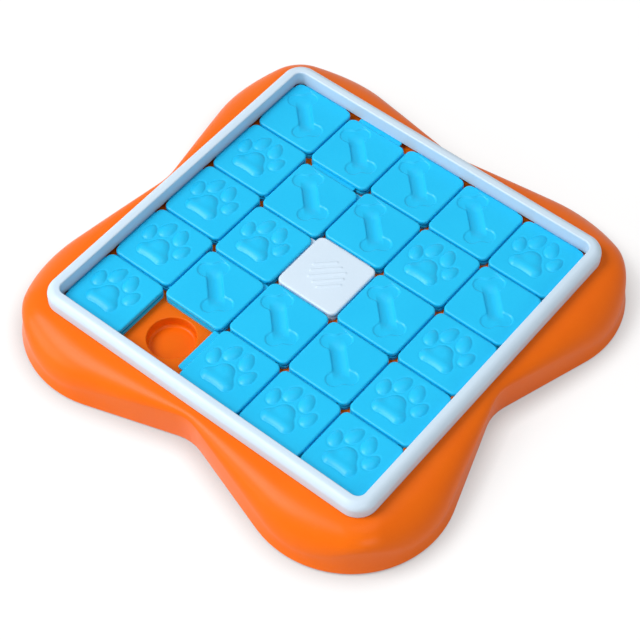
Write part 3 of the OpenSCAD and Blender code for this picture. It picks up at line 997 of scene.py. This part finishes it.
# %% The bone
BONE_HALF, KNUCKLE_OUT, KNUCKLE_RADIUS, SHAFT_HALF = 13.9, 4.8, 5.4, 5.0
KNUCKLE_MELT, SHAFT_MELT = 4.6, 3.0
BONE_ASIDE, BONE_BEHIND = 1.1, 1.4
BONE_STEP, BONE_BOWL, BONE_TROUGH = 0.60, 0.30, 1.50
BONE_SOFTNESS, STEP_WIDTH = 0.12, 0.8
TROUGH_FLAT, TROUGH_FADE = 6.5, 9


def bone_distance(along, across):
    """Distance to the bone: two knuckles melt together, and the shaft runs into them."""
    ends = blend(disc(along, across, BONE_HALF, KNUCKLE_OUT, KNUCKLE_RADIUS),
                 disc(along, across, BONE_HALF, -KNUCKLE_OUT, KNUCKLE_RADIUS), KNUCKLE_MELT)
    shaft = max(across - SHAFT_HALF, along - BONE_HALF)
    return blend(ends, shaft, SHAFT_MELT)


def bone_height(x, y):
    """A small crisp step, a shallow bowl, and a trough along the shaft that fades at its ends."""
    x, y = x + BONE_ASIDE, y - BONE_BEHIND
    along, across = abs(x - y) / math.sqrt(2), abs(x + y) / math.sqrt(2)
    inside = inwards(bone_distance(along, across), BONE_SOFTNESS)
    bowl = min(inside / KNUCKLE_RADIUS, 1)
    fading = 1 - eased((along - TROUGH_FLAT) / TROUGH_FADE)
    trough = max(1 - (across / SHAFT_HALF) ** 2, 0) * fading
    return -(BONE_STEP * eased(inside / STEP_WIDTH) + BONE_BOWL * bowl * (2 - bowl)
             + BONE_TROUGH * trough)


# %% The grip ribs of the white tile
GRIP_COUNT, GRIP_LENGTH, GRIP_TAPER, GRIP_STEP = 5, 24, 4, 4.4
GRIP_HALF, GRIP_RISE = 0.8, 0.58


def grip_height(x, y):
    """A row of round-topped diagonal ribs, shorter towards both ends of the row."""
    along, across = (x + y) / math.sqrt(2), (y - x) / math.sqrt(2)
    height = 0
    for index in range(GRIP_COUNT):
        off = index - (GRIP_COUNT - 1) / 2
        half = (GRIP_LENGTH - GRIP_TAPER * abs(off)) / 2 - GRIP_HALF
        beyond = max(abs(along) - half, 0)
        distance = math.hypot(beyond, across - off * GRIP_STEP) - GRIP_HALF
        height += cushion(distance, GRIP_HALF, GRIP_RISE, softness=0.15, fullness=0.6)
    return height


# %% [markdown]
# ## Twenty-four tiles
# Each kind of tile is finished once and copied to every place that the frame gives. A tile's
# CAD box includes its two tongues, so its middle is measured from the other two sides.

# %% Lay the tiles
MODELS = {"paw": (with_relief("paw_model", paw_height), BLUE, "blue_tile"),
          "bone": (with_relief("bone_model", bone_height), BLUE, "blue_tile"),
          "white": (with_relief("white_model", grip_height), WHITE, "white_tile")}


def body_carrying(node):
    """The name of the body that a CAD node rides on."""
    return next(b for b, nodes in frame["record"]["behaviour"]["bodies"].items() if node in nodes)


tiles = [node for node in frame["nodes"] if "_tile_" in node]
for node in tiles:
    kind, cell = node.split("_tile_")
    model, material, slot = MODELS[kind]
    low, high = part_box(node)
    tile = copy_of(model, f"{kind}_{cell}")
    at(tile, high.x - TILE_HALF, low.y + TILE_HALF, low.z)
    dress(tile, material, body_carrying(node), node)
for model, _, _ in MODELS.values():
    bpy.data.objects.remove(model)
print("tiles", len(tiles))

# %% [markdown]
# ## Feet and screws
# A rubber foot is lathed: a pad with a soft edge and a shallow hollow under it, on a stem
# that is pressed into its post. The screws keep their CAD shape and get a zinc finish.

# %% A foot
PAD_EDGE = 0.9 * MM
PAD_BACK_EDGE = 0.4 * MM
PAD_HOLLOW = [(0.6 * MM, 0.5 * MM), (3.0 * MM, 0.5 * MM), (3.5 * MM, 0)]


def rubber_foot():
    edge, back, top = PAD_EDGE, PAD_BACK_EDGE, FOOT_HEIGHT + STEM_LENGTH
    section = PAD_HOLLOW + arc(FOOT_RADIUS - edge, edge, edge, -90, 0, steps=5)
    section += arc(FOOT_RADIUS - back, FOOT_HEIGHT - back, back, 0, 90, steps=3)
    section += [(STEM_RADIUS, FOOT_HEIGHT)]
    section += arc(STEM_RADIUS - edge, top - edge, edge, 0, 90, steps=4)
    piece = lathe(section)
    piece.name = "foot_model"
    smooth(piece)
    return piece


# %% Feet and screws
foot_model = rubber_foot()
feet = [node for node in frame["nodes"] if node.startswith("foot_")]
for node in feet:
    low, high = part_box(node)
    middle = (low + high) / 2
    foot = at(copy_of(foot_model, node.replace("foot", "rubber_foot")), middle.x, middle.y, low.z)
    dress(foot, RUBBER, "root", node)
bpy.data.objects.remove(foot_model)

screws = frame["nodes"]["rim_screws"]
screws.data.materials.clear()
screws.data.materials.append(ZINC)
print("feet", len(feet))

# %% [markdown]
# ## Floor, light and camera
# The board lies on a plain white floor. A broad lamp high on the left gives the soft band on
# the shoulder, weak ones lift the left wall, the top and the right side, and the world fills
# the rest. To the camera and in reflections the sky is white, but it lights the board at a
# plain level. The floor glows for the camera alone. Close to the board an ambient-occlusion
# mask dims that glow, which paints a grey contact shadow onto the white floor.

# %% Floor
GROUND_SIZE = 6
GROUND_GREY = (0.85, 0.85, 0.85, 1)
GROUND_GLOW = 0.64
GROUND_LEVEL = 1.09
# How far from the board the painted contact shadow on the floor reaches.
PAINTED_SHADE_REACH = 15 * MM

start()
bpy.ops.mesh.primitive_plane_add(size=GROUND_SIZE)
ground = bpy.context.object
ground.name = "ground"

paint = Finish(bpy.data.materials.new("ground_white"))
paper = paint.add("ShaderNodeBsdfDiffuse", None, {"Color": GROUND_GREY})
# Painted shade: ambient occlusion dims the floor's glow next to the board, a painted contact
# shadow.
painted_contact_shade = paint.add("ShaderNodeAmbientOcclusion", None, {"Distance": PAINTED_SHADE_REACH})["AO"]
glow = paint.add("ShaderNodeEmission", None, {"Color": painted_contact_shade, "Strength": GROUND_LEVEL})
share = paint.add("ShaderNodeLightPath")["Is Camera Ray"] * GROUND_GLOW
mixed = paint.add("ShaderNodeMixShader", None, {0: share, 1: paper, 2: glow})
paint.add("ShaderNodeOutputMaterial", None, {"Surface": mixed})
ground.data.materials.append(paint.owner)
print("floor", GROUND_SIZE, "m wide")

# %% World
FILL = 0.30
world = bpy.data.worlds.new("studio")
bpy.context.scene.world = world
sky = Finish(world)
ray = sky.add("ShaderNodeLightPath")
level = (ray["Is Camera Ray"] + ray["Is Glossy Ray"]) * (1 - FILL) + FILL
air = sky.add("ShaderNodeBackground", None, {"Color": (1, 1, 1, 1), "Strength": level})
sky.add("ShaderNodeOutputWorld", None, {"Surface": air})
print("fill", FILL)

# %% Lamps
LAMP_AIM = Vector((0, 0, 0.03))
LAMPS = {"key_left": {"place": (-1.31, -1.31, 2.36), "size": 1.6, "watts": 66},
         "top_soft": {"place": (0.3, 0.2, 2.2), "size": 1.2, "watts": 6},
         "low_left": {"place": (-1.6, -1.7, 0.80), "size": 1.0, "watts": 14},
         "right_weak": {"place": (1.7, -0.9, 1.1), "size": 1.0, "watts": 9}}


def lamp(name, place, size, watts):
    """A round soft lamp that points at the board."""
    light = bpy.data.lights.new(name, "AREA")
    light.shape, light.size, light.energy = "DISK", size, watts
    holder = bpy.data.objects.new(name, light)
    holder.location = place
    holder.rotation_euler = (LAMP_AIM - Vector(place)).to_track_quat("-Z", "Y").to_euler()
    bpy.context.scene.collection.objects.link(holder)


for name, settings in LAMPS.items():
    lamp(name, **settings)
print("lamps", len(LAMPS))

# %% [markdown]
# The camera stands where the photographer's did. Its turn, height and roll, its distance, its
# shift to the side and up, and its lens were worked out once from the tile grid, whose corners
# are easy to find in a picture.

# %% Camera
VIEW_TURN, VIEW_HEIGHT, VIEW_ROLL = (math.radians(a) for a in (37.96, 53.99, 1.02))
VIEW_DISTANCE = 1.16316
VIEW_SHIFT = (0.00427, 0.02766)
LENS = 106.84

back = Vector((math.sin(VIEW_TURN) * math.cos(VIEW_HEIGHT),
               -math.cos(VIEW_TURN) * math.cos(VIEW_HEIGHT), math.sin(VIEW_HEIGHT)))
level_right = Vector((math.cos(VIEW_TURN), math.sin(VIEW_TURN), 0))
level_up = back.cross(level_right)
right = level_right * math.cos(VIEW_ROLL) + level_up * math.sin(VIEW_ROLL)
up = back.cross(right)

camera = bpy.data.objects.new("camera", bpy.data.cameras.new("camera"))
bpy.context.scene.collection.objects.link(camera)
camera.data.lens = LENS
camera.matrix_world = Matrix((right, up, back)).transposed().to_4x4()
camera.location = (Vector((0, 0, TILE_TOP)) + back * VIEW_DISTANCE
                   - right * VIEW_SHIFT[0] - up * VIEW_SHIFT[1])
bpy.context.scene.camera = camera
bpy.context.scene.view_settings.view_transform = "Standard"
print("camera", [round(part, 3) for part in camera.location])
